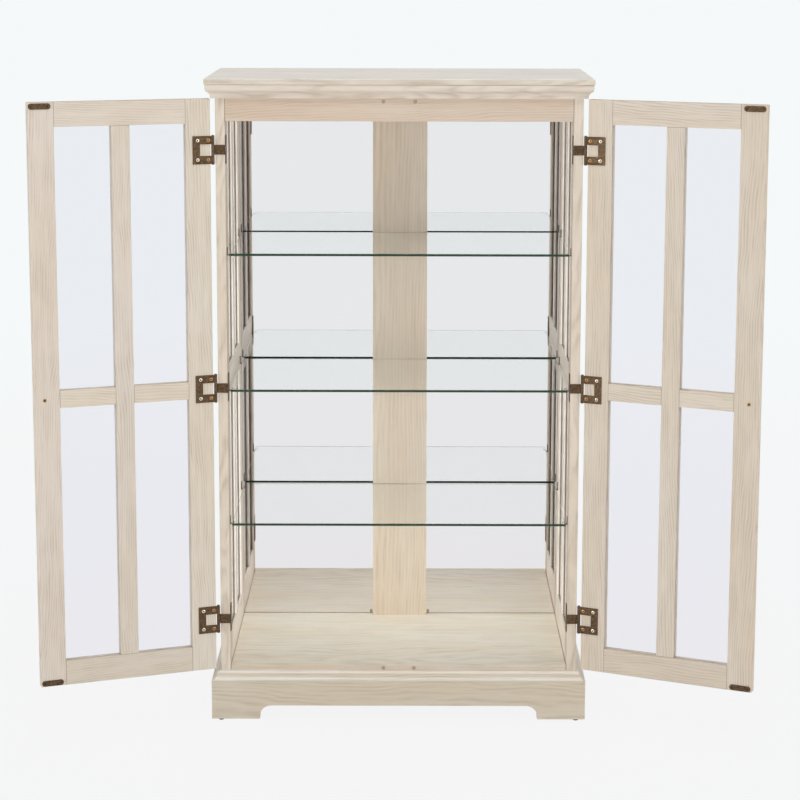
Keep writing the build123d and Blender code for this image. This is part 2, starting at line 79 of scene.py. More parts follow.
# Depth of colour at some shares of the way through one year's ring.
RING_TONES = ((0.0, 0.9), (0.14, 0.95), (0.4, 0.3), (0.66, 0.0), (0.86, 0.22), (1.0, 0.8))

# Steps from a board's own colour to its clouds, its warm patches and its grain, what a joint leaves of
# it, and the painted shade that darkens the faces round a pane as if its recess were in shadow.
PALER = (9, 10, 11)
WARMER = (7, 4, 0)
DARKER = (-30, -33, -37)
STREAK_SHARE = 0.16
PORE_SHARE = 0.16
JOINT_LINE = 0.0011
JOINT_LEAVES = (0.55, 0.52, 0.5)
PANE_SHADE_REACH = 0.0018
PANE_RECESS_PAINTED_SHADE = (82, 70, 58)
PANE_RECESS_SHADE_SHARE = 0.75

OAK_ROUGHNESS = (0.6, 0.72)
OAK_GLOSS = 0.22
LOG_STEP = 0.37
LOG_ASIDE = 0.006


def paint(red, green, blue):
    """A colour read off the object, 0 to 255, as the shader takes it."""
    tones = [tone / 255 for tone in (red, green, blue)]
    lit = [tone / 12.92 if tone <= 0.04045 else ((tone + 0.055) / 1.055) ** 2.4 for tone in tones]
    return (*lit, 1.0)


def toned(colour, steps):
    """A colour read off the object, some steps lighter or darker."""
    return paint(*(tone + step for tone, step in zip(colour, steps)))


class Nodes:
    """The nodes of a material or a world, with short ways to add and link them."""

    def __init__(self, owner):
        owner.use_nodes = True
        self.nodes = owner.node_tree.nodes
        self.links = owner.node_tree.links

    def add(self, kind, settings=None, **inputs):
        """A new node, whose inputs go by name, or by number as i0, i1 and so on."""
        node = self.nodes.new("ShaderNode" + kind)
        for key, value in (settings or {}).items():
            setattr(node, key, value)
        for key, value in inputs.items():
            self.feed(node, key, value)
        return node

    def feed(self, node, key, value):
        """Links an output to an input, or sets the input's own value."""
        numbered = key[0] == "i" and key[1:].isdigit()
        socket = node.inputs[int(key[1:]) if numbered else key]
        if isinstance(value, bpy.types.NodeSocket):
            self.links.new(value, socket)
        else:
            socket.default_value = value

    def maths(self, operation, first, second=0.0):
        return self.add("Math", {"operation": operation}, i0=first, i1=second).outputs[0]

    def vector(self, operation, first, second=(0, 0, 0), output="Vector"):
        node = self.add("VectorMath", {"operation": operation}, i0=first, i1=second)
        return node.outputs[output]

    def spread(self, value, low, high, new_low, new_high):
        """Brings the span from low to high to the span from new_low to new_high."""
        node = self.add("MapRange", i0=value, i1=low, i2=high, i3=new_low, i4=new_high)
        return node.outputs[0]

    def blend(self, factor, first, second, how="MIX"):
        node = self.add("Mix", {"data_type": "RGBA", "blend_type": how}, i0=factor, i6=first, i7=second)
        return node.outputs[2]

    def noise(self, place, waves, detail, roughness=0.5, shift=(0, 0, 0)):
        """Noise with so many waves per metre along each axis of a place."""
        spot = self.add("Mapping", Vector=place, Scale=waves, Location=shift).outputs[0]
        return self.add("TexNoise", Vector=spot, Scale=1.0, Detail=detail, Roughness=roughness).outputs

    def specks(self, waves, detail, roughness=0.5):
        """Noise with so many waves per metre along every axis."""
        place = self.add("TexCoord").outputs["Object"]
        node = self.add("TexNoise", Vector=place, Scale=waves, Detail=detail, Roughness=roughness)
        return node.outputs["Fac"]


class Finish(Nodes):
    """A new material and the nodes that make it up."""

    def __init__(self, name):
        self.material = bpy.data.materials.new(name)
        super().__init__(self.material)
        self.shader = self.nodes["Principled BSDF"]
        self.surface = self.nodes["Material Output"]


def oak(name, colour, along, face, centre, number, depth=0.05, aside=0.11, ring=0.0055, tilt=0.006,
        slant=0.05, waver=0.045, figured=0.9, upper=None, joints=(), pane=None):
    """Oak cut from a log whose pith lies below and to one side of the face, under a pale wash."""
    finish = Finish(name)
    along, face = along.normalized(), face.normalized()
    turn = Matrix((along, face, along.cross(face))).transposed().to_euler()
    shift = along * (LOG_STEP * number) + along.cross(face) * (LOG_ASIDE * (number % 5 - 2))
    hand = 1 if number % 2 else -1
    slant *= 0.4 + 0.3 * (number % 4)
    world = finish.add("TexCoord").outputs["Object"]
    place = finish.add(
        "Mapping", {"vector_type": "TEXTURE"}, Vector=world, Location=Vector(centre) + shift,
        Rotation=turn,
    ).outputs[0]

    # Year rings round the pith, which wander a little and slant through the board.
    wander = finish.noise(place, RING_WANDER, 3.0, 0.55)["Color"]
    wander = finish.vector("SUBTRACT", wander, (0.5, 0.5, 0.5))
    wander = finish.vector("MULTIPLY", wander, (0, waver, waver))
    log = finish.add(
        "Mapping", Vector=finish.vector("ADD", place, wander),
        Rotation=(0, slant * hand, tilt * hand), Location=(0, depth, aside * hand),
    ).outputs[0]
    distance = finish.vector("LENGTH", finish.vector("MULTIPLY", log, (0, 1, 1)), output="Value")
    rings = finish.add("ValToRGB", Fac=finish.maths("FRACT", finish.maths("DIVIDE", distance, ring)))
    stops = rings.color_ramp.elements
    for position, _ in RING_TONES[1:-1]:
        stops.new(position)
    for stop, (position, tone) in zip(stops, RING_TONES):
        stop.position = position
        stop.color = (tone, tone, tone, 1)

    # Fine pores, streaks along the grain, soft clouds of stain, and breaks in the rings' figure.
    pores = finish.spread(finish.noise(place, PORES, 2.0, 0.6)["Fac"], 0.5, 0.68, 0.0, 1.0)
    streaks = finish.spread(finish.noise(place, STREAKS, 3.0, 0.55)["Fac"], 0.3, 0.7, 0.0, 1.0)
    clouds = finish.noise(place, CLOUDS, 2.0, shift=(3, 1, 2))["Fac"]
    clouds = finish.spread(clouds, 0.3, 0.7, 0.0, 1.0)
    breaks = finish.noise(place, BREAKS, 2.0, 0.6, shift=(7, 2, 5))["Fac"]
    breaks = finish.spread(breaks, 0.36, 0.64, 0.15, 1.0)

    figure = finish.maths("MULTIPLY", rings.outputs["Color"], breaks)
    deep = finish.maths("MULTIPLY", figure, finish.spread(streaks, 0, 1, 0.45, 1.0))
    grain = toned(colour, DARKER)
    skin = finish.blend(clouds, toned(colour, PALER), toned(colour, WARMER))
    skin = finish.blend(finish.maths("MULTIPLY", deep, figured), skin, grain)
    skin = finish.blend(finish.maths("MULTIPLY", streaks, STREAK_SHARE), skin, grain)
    skin = finish.blend(finish.maths("MULTIPLY", pores, PORE_SHARE), skin, grain)

    # Faces that look up get painted light where asked, paler as if lit from above. Joints show as darker
    # lines, and round a pane the faces get painted shade where its recess lies in shadow.
    if upper:
        painted_top_share = finish.add("NewGeometry").outputs["Normal"]
        painted_top_share = finish.add("SeparateXYZ", Vector=painted_top_share).outputs["Z"]
        skin = finish.blend(finish.spread(painted_top_share, 0.2, 0.8, 0.0, 1.0), skin, upper, "MULTIPLY")
    reach = finish.add("SeparateXYZ", Vector=place).outputs["X"]
    reach = finish.maths("ABSOLUTE", finish.maths("ADD", reach, LOG_STEP * number))
    shade = paint(*(tone * share for tone, share in zip(colour, JOINT_LEAVES)))
    for joint in joints:
        away = finish.maths("ABSOLUTE", finish.maths("SUBTRACT", reach, joint))
        line = finish.spread(away, JOINT_LINE * 0.7, JOINT_LINE, 0.8, 0.0)
        skin = finish.blend(line, skin, shade)
    # Painted shade round a pane: faces close to the pane's middle plane and inside its box are darkened
    # as if its recess were in shadow.
    if pane:
        low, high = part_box(pane)
        half = (high - low) / 2
        beside = finish.vector("ABSOLUTE", finish.vector("SUBTRACT", world, (low + high) / 2))
        across, inward, height = finish.add("SeparateXYZ", Vector=beside).outputs
        pane_shade_mask = finish.maths("LESS_THAN", across, half.x + PANE_SHADE_REACH)
        pane_shade_mask = finish.maths("MULTIPLY", pane_shade_mask, finish.maths("LESS_THAN", inward, half.y))
        pane_shade_mask = finish.maths("MULTIPLY", pane_shade_mask, finish.maths("LESS_THAN", height, half.z))
        skin = finish.blend(finish.maths("MULTIPLY", pane_shade_mask, PANE_RECESS_SHADE_SHARE), skin, paint(*PANE_RECESS_PAINTED_SHADE))

    finish.feed(finish.shader, "Base Color", skin)
    finish.feed(finish.shader, "Roughness", finish.spread(streaks, 0, 1, *OAK_ROUGHNESS))
    finish.shader.inputs["Specular IOR Level"].default_value = OAK_GLOSS
    relief = finish.maths("ADD", deep, finish.maths("MULTIPLY", pores, 0.6))
    bump = finish.add("Bump", {"invert": True}, Strength=0.14, Distance=0.0003, Height=relief)
    finish.feed(finish.shader, "Normal", bump.outputs[0])
    return finish.material


def middle(node):
    low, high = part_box(node)
    return (low + high) / 2


def reach_to(node, neighbour, along):
    """How far a board shows from its middle until it meets a neighbour's near edge."""
    start = middle(node).dot(along)
    edges = [vertex.co.dot(along) - start for vertex in frame["nodes"][neighbour].data.vertices]
    return min(abs(min(edges)), abs(max(edges)))


board_count = 0


def dress(node, colour, along, face, **figure):
    """Gives a board of the frame its own piece of oak, cut from the next place along the log."""
    global board_count
    board_count += 1
    wood = oak(node + "_oak", colour, along, face, middle(node), board_count, **figure)
    piece = frame["nodes"][node]
    piece.data.materials.clear()
    piece.data.materials.append(wood)


FLAT_SAWN = {"depth": 0.06, "aside": 0.02, "ring": 0.006, "tilt": 0.02, "slant": 0.02, "figured": 0.65}
PLINTH_OAK = (200, 189, 172)
# Up-facing faces of the moulding get painted light: paler, as if lit from above.
PLINTH_PAINTED_TOP_LIGHT = (1.38, 1.5, 1.7, 1)
dress("base_front", PLINTH_OAK, SIDEWAYS, DEPTHWISE, upper=PLINTH_PAINTED_TOP_LIGHT, **FLAT_SAWN)
for side in ("left", "right"):
    dress("base_" + side, PLINTH_OAK, DEPTHWISE, SIDEWAYS, upper=PLINTH_PAINTED_TOP_LIGHT, **FLAT_SAWN)
dress("base_back", PLINTH_OAK, SIDEWAYS, DEPTHWISE)
dress("base_corner_blocks", PLINTH_OAK, UPRIGHT, DEPTHWISE)

# Glides: round nail-on discs of dark nylon under the four corners, with a softened lower edge.
# Each is turned from its outline and nailed where the frame has its glide.
GLIDE_DARK = (46, 43, 40)
GLIDE_SCUFFED = (66, 62, 58)
GLIDE_OUTLINE = ((0.0042, 0.0), (0.0052, 0.0004), (0.0059, 0.0014), (0.006, 0.0024), (0.006, 0.004))
GLIDE_SIDES = 40
MERGE_WITHIN = 1e-6
TURNED_SMOOTH = math.radians(35)


def mean(points):
    return sum(points, Vector()) / len(points)


def extent(points):
    """The lowest and highest corner of some points, and the middle between them."""
    low = Vector([min(point[i] for point in points) for i in range(3)])
    high = Vector([max(point[i] for point in points) for i in range(3)])
    return low, high, (low + high) / 2


def loose_solids(node):
    """The points of each separate solid of a CAD node, with the solids in order of their middles."""
    mesh = bmesh.new()
    mesh.from_mesh(frame["nodes"][node].data)
    bmesh.ops.remove_doubles(mesh, verts=mesh.verts, dist=MERGE_WITHIN)
    left = set(mesh.verts)
    solids = []
    for start in mesh.verts:
        if start not in left:
            continue
        left.remove(start)
        reached = [start]
        points = []
        while reached:
            vertex = reached.pop()
            points.append(vertex.co.copy())
            for edge in vertex.link_edges:
                other = edge.other_vert(vertex)
                if other in left:
                    left.remove(other)
                    reached.append(other)
        solids.append(points)
    mesh.free()
    return sorted(solids, key=lambda points: tuple(round(value, 4) for value in mean(points)))


def turned(outline, sides):
    """A turned piece standing on the origin, from (radius, height) pairs, as the active object."""
    radius, height = outline[0]
    bpy.ops.mesh.primitive_circle_add(
        vertices=sides, radius=radius, fill_type="NGON", location=(0, 0, height))
    piece = bpy.context.object
    bpy.ops.object.transform_apply(location=True)
    bpy.ops.object.mode_set(mode="EDIT")
    bpy.ops.mesh.select_all(action="SELECT")
    for next_radius, next_height in outline[1:]:
        rise = (0, 0, next_height - height)
        bpy.ops.mesh.extrude_region_move(TRANSFORM_OT_translate={"value": rise})
        share = next_radius / radius
        bpy.ops.transform.resize(value=(share, share, 1), center_override=(0, 0, next_height))
        radius, height = next_radius, next_height
    bpy.ops.mesh.select_all(action="SELECT")
    bpy.ops.mesh.normals_make_consistent(inside=False)
    bpy.ops.object.mode_set(mode="OBJECT")
    return piece


def stood(piece, place, direction):
    """Moves a piece's mesh from the origin to its place, with its height along the given way."""
    direction = Vector(direction).normalized()
    across = UPRIGHT if abs(direction.z) < 0.9 else DEPTHWISE
    right = across.cross(direction).normalized()
    turn = Matrix((right, direction.cross(right), direction)).transposed().to_4x4()
    piece.data.transform(Matrix.Translation(place) @ turn)
    return piece


def placed_copies(pattern, places):
    """Copies of a piece, each with its own mesh, at (place, direction) pairs; the pattern goes."""
    copies = []
    for place, direction in places:
        copy = pattern.copy()
        copy.data = pattern.data.copy()
        bpy.context.collection.objects.link(copy)
        copies.append(stood(copy, place, direction))
    bpy.data.objects.remove(pattern)
    return copies


def joined(name, copies):
    """Like pieces as one named object."""
    bpy.ops.object.select_all(action="DESELECT")
    for copy in copies:
        copy.select_set(True)
    bpy.context.view_layer.objects.active = copies[0]
    bpy.ops.object.join()
    piece = bpy.context.object
    piece.name = name
    bpy.ops.object.shade_smooth_by_angle(angle=TURNED_SMOOTH)
    bpy.ops.object.select_all(action="DESELECT")
    return piece


nylon = Finish("glide_nylon")
scuffs = nylon.specks(420.0, 3.0)
nylon.feed(nylon.shader, "Base Color", nylon.blend(scuffs, paint(*GLIDE_DARK), paint(*GLIDE_SCUFFED)))
nylon.feed(nylon.shader, "Roughness", nylon.spread(scuffs, 0.3, 0.7, 0.45, 0.7))
feet = []
for points in loose_solids("glides"):
    low, _, centre = extent(points)
    feet.append((Vector((centre.x, centre.y, low.z)), UPRIGHT))
glides = joined("nylon_glides", placed_copies(turned(GLIDE_OUTLINE, GLIDE_SIDES), feet))
glides.data.materials.append(nylon.material)
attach(glides, "cabinet")
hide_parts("glides")

# Floor of the cabinet: one wide board of edge-glued oak, with its grain from side to side and its
# edges eased. It lies on the plinth and stops just short of the side panels.
FLOOR_OAK = (202, 188, 172)
# The floor's upper face gets painted light: paler than its front edge, as if lit from above.
FLOOR_PAINTED_TOP_LIGHT = (1.48, 1.62, 1.7, 1)
FLOOR_ROUNDING = 0.0016
FLAT_WITHIN = math.radians(0.5)
SMOOTH_WITHIN = math.radians(30)
SHARP_FROM = math.radians(35)


def eased(name, node, width, material, body, steps=2):
    """Stands for a CAD node with a copy of its solids whose sharp edges are rounded."""
    piece = frame["nodes"][node].copy()
    piece.data = piece.data.copy()
    piece.name = name
    for key in list(piece.keys()):
        del piece[key]
    bpy.context.collection.objects.link(piece)
    piece.parent = None
    bpy.ops.object.select_all(action="DESELECT")
    piece.select_set(True)
    bpy.context.view_layer.objects.active = piece
    bpy.ops.object.mode_set(mode="EDIT")
    bpy.ops.mesh.select_all(action="SELECT")
    bpy.ops.mesh.remove_doubles(threshold=MERGE_WITHIN)
    bpy.ops.mesh.dissolve_limited(angle_limit=FLAT_WITHIN)
    bpy.ops.object.mode_set(mode="OBJECT")
    bpy.ops.object.shade_smooth_by_angle(angle=SMOOTH_WITHIN)
    rounding = piece.modifiers.new("rounding", "BEVEL")
    rounding.width = width
    rounding.segments = steps
    rounding.limit_method = "ANGLE"
    rounding.angle_limit = SHARP_FROM
    rounding.use_clamp_overlap = True
    rounding.harden_normals = True
    bpy.ops.object.modifier_apply(modifier="rounding")
    piece.data.materials.clear()
    piece.data.materials.append(material)
    piece.select_set(False)
    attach(piece, body)
    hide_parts(node)
    return piece


dress("floor_panel", FLOOR_OAK, SIDEWAYS, UPRIGHT, depth=0.16, aside=0.05, ring=0.0055, tilt=0.02,
      figured=0.6, upper=FLOOR_PAINTED_TOP_LIGHT)
floor_oak = frame["nodes"]["floor_panel"].data.materials[0]
eased("edged_floor", "floor_panel", FLOOR_ROUNDING, floor_oak, "cabinet")

# Side panels: two stiles, two rails, a muntin and short middle rails, tenoned together, with four
# panes. The stiles and muntin are cut with the grain upright, the rails with it front to back.
SIDE_MEMBERS = ("front_stile", "rear_stile", "muntin", "top_rail", "bottom_rail", "middle_rails")
# The members inside the side panels are painted much paler than their front stile: painted light that
# stands in for light the interior lacks.
SIDE_OAK_PAINTED_LIGHT = (238, 229, 217)
FRONT_STILE_OAK = (214, 202, 187)


def dress_panel(panel, colours, way, face, pane=None):
    """Gives each member of a framed panel its board, with a line at each joint that shows, and painted
    shade round its pane where one is given.
    """
    stiles = [member for member in colours if member.endswith("_stile")]
    for member in (*stiles, "muntin"):
        ends = []
        if member == "muntin":
            ends.append(reach_to(panel + "_muntin", panel + "_top_rail", UPRIGHT))
        dress(f"{panel}_{member}", colours[member], UPRIGHT, face, joints=ends, pane=pane)
    for member in ("top_rail", "bottom_rail", "middle_rails"):
        ends = [reach_to(f"{panel}_{member}", f"{panel}_{stiles[0]}", way)]
        if member == "middle_rails":
            ends.append(reach_to(f"{panel}_{member}", panel + "_muntin", way))
        dress(f"{panel}_{member}", colours[member], way, face, joints=ends, pane=pane)


for side in ("left", "right"):
    colours = dict.fromkeys(SIDE_MEMBERS, SIDE_OAK_PAINTED_LIGHT)
    colours["front_stile"] = FRONT_STILE_OAK
    dress_panel(side + "_side", colours, DEPTHWISE, SIDEWAYS, pane=side + "_side_glass")

# Front top rail and the wide stile in front of the mirrors' joint: flat oak boards, the rail with
# its grain across and the stile with its grain upright. The rail is tenoned between the sides.
# The rail's colour is painted darker: painted shade that stands in for the cornice's shadow on it.
TOP_RAIL_OAK_PAINTED_SHADE = (203, 186, 169)
# The stile's colour is painted paler: painted light that stands in for light the back of the interior
# lacks.
BACK_STILE_OAK_PAINTED_LIGHT = (222, 208, 190)
rail_end = reach_to("front_top_rail", "left_side_front_stile", SIDEWAYS)
dress("front_top_rail", TOP_RAIL_OAK_PAINTED_SHADE, SIDEWAYS, DEPTHWISE, depth=0.07, aside=0.03, ring=0.005,
      figured=0.55, joints=[rail_end])
dress("back_stile", BACK_STILE_OAK_PAINTED_LIGHT, UPRIGHT, DEPTHWISE, depth=0.12, aside=0.05, ring=0.0042,
      slant=0.02, waver=0.018, figured=0.55)

# Panes of the side panels and doors: 4 mm float glass held in grooves. The glass has a faint cool
# tint and lets lamplight through.
PANE_TINT = (0.9, 0.893, 0.935, 1.0)
PANE_DEPTH_COLOUR = (0.55, 0.8, 0.72, 1.0)
GLASS_IOR = 1.5


def glass(name, tint, depth_colour, density):
    """Clear glass that deepens in colour with its thickness and casts no dark shadow."""
    finish = Finish(name)
    shader = finish.shader
    shader.inputs["Base Color"].default_value = tint
    shader.inputs["Transmission Weight"].default_value = 1.0
    shader.inputs["IOR"].default_value = GLASS_IOR
    finish.feed(shader, "Roughness", finish.spread(finish.specks(9.0, 4.0, 0.6), 0.45, 0.75, 0.0, 0.004))
    clear = finish.add("BsdfTransparent", Color=[share ** 0.5 for share in tint])
    passing = finish.add("LightPath").outputs["Is Shadow Ray"]
    mix = finish.add("MixShader", Fac=passing, i1=shader.outputs[0], i2=clear.outputs[0])
    finish.feed(finish.surface, "Surface", mix.outputs[0])
    depth = finish.add("VolumeAbsorption", Color=depth_colour, Density=density)
    finish.feed(finish.surface, "Volume", depth.outputs[0])
    return finish.material


pane_glass = glass("pane_glass", PANE_TINT, PANE_DEPTH_COLOUR, 4.0)
for side in ("left", "right"):
    for panel in ("side", "door"):
        panes = frame["nodes"][f"{side}_{panel}_glass"]
        panes.data.materials.clear()
        panes.data.materials.append(pane_glass)

# Back panel: a thin board behind the mirrors, washed like the rest but plainer, let in between the
# sides and seen only from behind.
BACK_OAK = (207, 196, 180)
dress("back_panel", BACK_OAK, UPRIGHT, DEPTHWISE, depth=0.3, aside=0.1, ring=0.008, tilt=0.02)

# Mirrors: two silvered sheets of 4 mm glass on the back panel, which meet behind the wide stile.
# Clips hold them at the foot and the head.
MIRROR_SILVER = (0.86, 0.845, 0.855, 1)
MIRROR_HAZE = (0.88, 0.865, 0.875, 1)
silver = Finish("silvered_glass")
silver.shader.inputs["Metallic"].default_value = 1.0
haze = silver.specks(5.0, 3.0)
silver.feed(silver.shader, "Base Color", silver.blend(haze, MIRROR_SILVER, MIRROR_HAZE))
silver.feed(silver.shader, "Roughness", silver.spread(haze, 0.4, 0.8, 0.004, 0.02))
mirrors = frame["nodes"]["mirrors"]
mirrors.data.materials.clear()
mirrors.data.materials.append(silver.material)

# Mirror clips: small bent strips of dull tinned steel that hook over the foot and head of each
# mirror. Their sheared edges are softened.
CLIP_ROUNDING = 0.0003
TARNISH_WAVES = 300.0
DENT_WAVES = 900.0


def metal(name, colour, worn, roughness, metallic=1.0):
    """Metal with a patchy tarnish and a slightly uneven skin."""
    finish = Finish(name)
    patches = finish.spread(finish.specks(TARNISH_WAVES, 4.0, 0.65), 0.35, 0.7, 0.0, 1.0)
    finish.feed(finish.shader, "Base Color", finish.blend(patches, paint(*colour), paint(*worn)))
    finish.feed(finish.shader, "Roughness", finish.spread(patches, 0, 1, roughness, roughness + 0.14))
    finish.shader.inputs["Metallic"].default_value = metallic
    dents = finish.specks(DENT_WAVES, 2.0)
    bump = finish.add("Bump", Strength=0.12, Distance=0.0002, Height=dents)
    finish.feed(finish.shader, "Normal", bump.outputs[0])
    return finish.material


tinned = metal("tinned_steel", (164, 150, 126), (186, 174, 152), 0.36, metallic=0.8)
eased("bent_mirror_clips", "mirror_clips", CLIP_ROUNDING, tinned, "cabinet")

# Shelves: three sheets of 5 mm glass, each laid on four clips. Their edges are ground and polished
# and look dark green end on.
SHELF_TINT = (0.97, 0.98, 0.98, 1.0)
SHELF_DEPTH_COLOUR = (0.34, 0.66, 0.46, 1.0)
SHELF_ARRIS = 0.0008
EDGE_GREEN = (34, 60, 42)
EDGE_PALE = (44, 70, 52)
STEEP_UNDER = 0.3
shelf_glass = glass("shelf_glass", SHELF_TINT, SHELF_DEPTH_COLOUR, 3.4)
edge_green = Finish("shelf_edge_green")
ripple = edge_green.specks(60.0, 2.0)
edge_green.feed(
    edge_green.shader, "Base Color", edge_green.blend(ripple, paint(*EDGE_GREEN), paint(*EDGE_PALE)))
edge_green.feed(edge_green.shader, "Roughness", edge_green.spread(ripple, 0.3, 0.7, 0.12, 0.22))
edge_green.shader.inputs["Specular IOR Level"].default_value = 0.25
for level in ("lower", "middle", "upper"):
    node = "shelf_" + level
    shelf = eased("polished_" + node, node, SHELF_ARRIS, shelf_glass, "cabinet")
    shelf.data.materials.append(edge_green.material)
    for face in shelf.data.polygons:
        if abs(face.normal.z) < STEEP_UNDER:
            face.material_index = 1

# Shelf clips: dark bent metal, an arm under the glass, a plate up the side of it, and a peg in the
# stile behind.
bronze = metal("antique_bronze", (60, 46, 33), (118, 92, 65), 0.34, metallic=0.75)
eased("bent_shelf_clips", "shelf_clips", CLIP_ROUNDING, bronze, "cabinet")

# Cornice and top board: a cove moulding mitred round the front corners, under a board with a
# rounded nose. Both have their grain along their length.
CORNICE_OAK = (214, 203, 191)
TOP_OAK = (212, 203, 191)
# The top board's upper face gets painted light and sheen: paler and more neutral, as if lit from above
# and glossy.
TOP_BOARD_PAINTED_SHEEN = (1.37, 1.45, 1.57, 1)
for length, along in (("front", SIDEWAYS), ("left", DEPTHWISE), ("right", DEPTHWISE)):
    dress("cornice_" + length, CORNICE_OAK, along, UPRIGHT, depth=0.07, aside=0.04)
dress("top_board", TOP_OAK, SIDEWAYS, UPRIGHT, depth=0.2, aside=0.06, ring=0.006, tilt=0.02,
      upper=TOP_BOARD_PAINTED_SHEEN)

# Magnetic catches: a small magnet in a brass cup is pressed into the top rail and the floor's
# front edge, four in all.
CUP_RADIUS = 0.004
CUP_DEPTH = 0.01
CUP_SIDES = 48

# Insets of the cup's face, as width and rise: its rim and the step down to the magnet, and then
# the magnet's own rim and its raised middle.
CUP_INSETS = ((0.0006, 0.0), (0.0001, -0.0003))
MAGNET_INSETS = ((0.0012, 0.0), (0.0002, 0.0002))
brass = metal("catch_brass", (196, 164, 122), (168, 132, 92), 0.3)
magnet_face = metal("magnet_face", (178, 158, 134), (160, 140, 118), 0.35, metallic=0.5)
bpy.ops.mesh.primitive_cylinder_add(
    vertices=CUP_SIDES, radius=CUP_RADIUS, depth=CUP_DEPTH, location=(0, 0, CUP_DEPTH / 2))
magnet_pattern = bpy.context.object
bpy.ops.object.transform_apply(location=True)
magnet_pattern.data.materials.append(brass)
magnet_pattern.data.materials.append(magnet_face)
bpy.ops.object.mode_set(mode="EDIT")
bpy.ops.mesh.select_all(action="DESELECT")
bpy.ops.object.mode_set(mode="OBJECT")
for face in magnet_pattern.data.polygons:
    face.select = face.normal.z < -0.9
bpy.ops.object.mode_set(mode="EDIT")
bpy.ops.mesh.select_mode(type="FACE")
for width, rise in CUP_INSETS:
    bpy.ops.mesh.inset(thickness=width, depth=rise)
magnet_pattern.active_material_index = 1
bpy.ops.object.material_slot_assign()
for width, rise in MAGNET_INSETS:
    bpy.ops.mesh.inset(thickness=width, depth=rise)
bpy.ops.object.mode_set(mode="OBJECT")
catches = []
for points in loose_solids("magnets"):
    low, _, centre = extent(points)
    catches.append((Vector((centre.x, low.y, centre.z)), DEPTHWISE))
magnets = joined("round_magnets", placed_copies(magnet_pattern, catches))
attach(magnets, "cabinet")
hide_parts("magnets")

# Doors: each is a frame like the sides, a little lighter, with its outer edges eased. The rails
# run along the door, which stands open by the angle that its hinge's range gives.
DOOR_OAK = {
    "left": {
        "hinge_stile": (214, 204, 190), "free_stile": (214, 203, 191), "muntin": (212, 202, 190),
        "top_rail": (215, 205, 193), "bottom_rail": (208, 197, 182), "middle_rails": (216, 205, 190),
    },
    "right": {
        "hinge_stile": (212, 200, 185), "free_stile": (211, 199, 184), "muntin": (212, 201, 187),
        "top_rail": (214, 203, 190), "bottom_rail": (208, 196, 181), "middle_rails": (214, 203, 188),
    },
}
opened = {joint["child"]: math.radians(joint["range_deg"][1]) for joint in frame["joints"]}
door_way = {}
door_face = {}
for side, hand in (("left", -1), ("right", 1)):
    swing = opened[side + "_door"]
    door_way[side] = Vector((-hand * math.cos(swing), -math.sin(swing), 0))
    door_face[side] = door_way[side].cross(UPRIGHT) * hand
    dress_panel(side + "_door", DOOR_OAK[side], door_way[side], door_face[side])

# Hinges: an antique bronze leaf shaped like a C on the door nests round the tongue of the leaf on
# the side panel, and a pin with small round caps joins them. Strike plates of the same finish meet
# the magnets.
LEAF_ROUNDING = 0.00025
STRIKE_ROUNDING = 0.0004
PIN_ROUNDING = 0.0004
for side in ("left", "right"):
    body = side + "_door"
    eased(body + "_hinge_plates", body + "_hinge_leaves", LEAF_ROUNDING, bronze, body)
    eased(body + "_strikes", body + "_strike_plates", STRIKE_ROUNDING, bronze, body)
eased("frame_hinge_plates", "frame_hinge_leaves", LEAF_ROUNDING, bronze, "cabinet")
eased("capped_hinge_pins", "hinge_pins", PIN_ROUNDING, bronze, "cabinet", steps=3)

# Screws: countersunk, with a low oval head that just covers the countersink, and a cross recess.
# They are copper-plated beside the knuckles and on the frame leaves, nickel-plated along the far
# edge of the door leaves, bronze in the strike plates, and brass behind the knobs.
COPPER = ((212, 164, 116), (170, 124, 82))
NICKEL = ((255, 246, 228), (236, 220, 194))
# The cross recess is lined with a dark metal: painted shade that stands in for the recess's shadow.
SCREW_RECESS_PAINTED_SHADE = ((62, 46, 38), (44, 34, 30))
SCREW_SIDES = 32
SMALL_SCREW = {"head": 0.0034, "shank": 0.0016, "length": 0.012, "rise": 0.0004}
KNOB_SCREW = {"head": 0.0041, "shank": 0.002, "length": 0.029, "rise": 0.0006}
# Length, width and depth of a recess's slot, as shares of the head's radius.
SLOT_SHARES = (1.2, 0.55, 0.5)
FACE_WITHIN = 1e-4
FAR_FROM = 0.1
copper = metal("copper_plate", *COPPER, 0.26)
nickel = metal("nickel_plate", *NICKEL, 0.24)
screw_recess_painted_shade = metal("recess_shade", *SCREW_RECESS_PAINTED_SHADE, 0.5, metallic=0.6)
SCREW_PLATES = {"outer": nickel, "inner": copper, "strike": bronze, "knob": brass}


def screw_pattern(plate, head, shank, length, rise):
    """A screw whose head looks along -Z from the origin and whose shank runs up +Z."""
    outline = [
        (head * 0.55, -rise), (head * 0.85, -rise * 0.7), (head, 0.0), (shank, head - shank),
        (shank, length), (shank * 0.2, length + shank),
    ]
    screw = turned(outline, SCREW_SIDES)
    screw.data.materials.append(plate)
    screw.data.materials.append(screw_recess_painted_shade)
    slots = []
    for turn in (45, 135):
        bpy.ops.mesh.primitive_cube_add(size=1, location=(0, 0, -rise))
        slot = bpy.context.object
        slot.data.transform(Matrix.Diagonal((*(head * share for share in SLOT_SHARES), 1)))
        slot.data.transform(Matrix.Rotation(math.radians(turn), 4, "Z"))
        bpy.ops.object.transform_apply(location=True)
        slot.data.materials.append(screw_recess_painted_shade)
        slots.append(slot)
    for slot in slots:
        cut = screw.modifiers.new("recess", "BOOLEAN")
        cut.object = slot
        cut.operation = "DIFFERENCE"
        cut.solver = "EXACT"
        bpy.ops.object.select_all(action="DESELECT")
        bpy.context.view_layer.objects.active = screw
        bpy.ops.object.modifier_apply(modifier="recess")
        bpy.data.objects.remove(slot)
    return screw


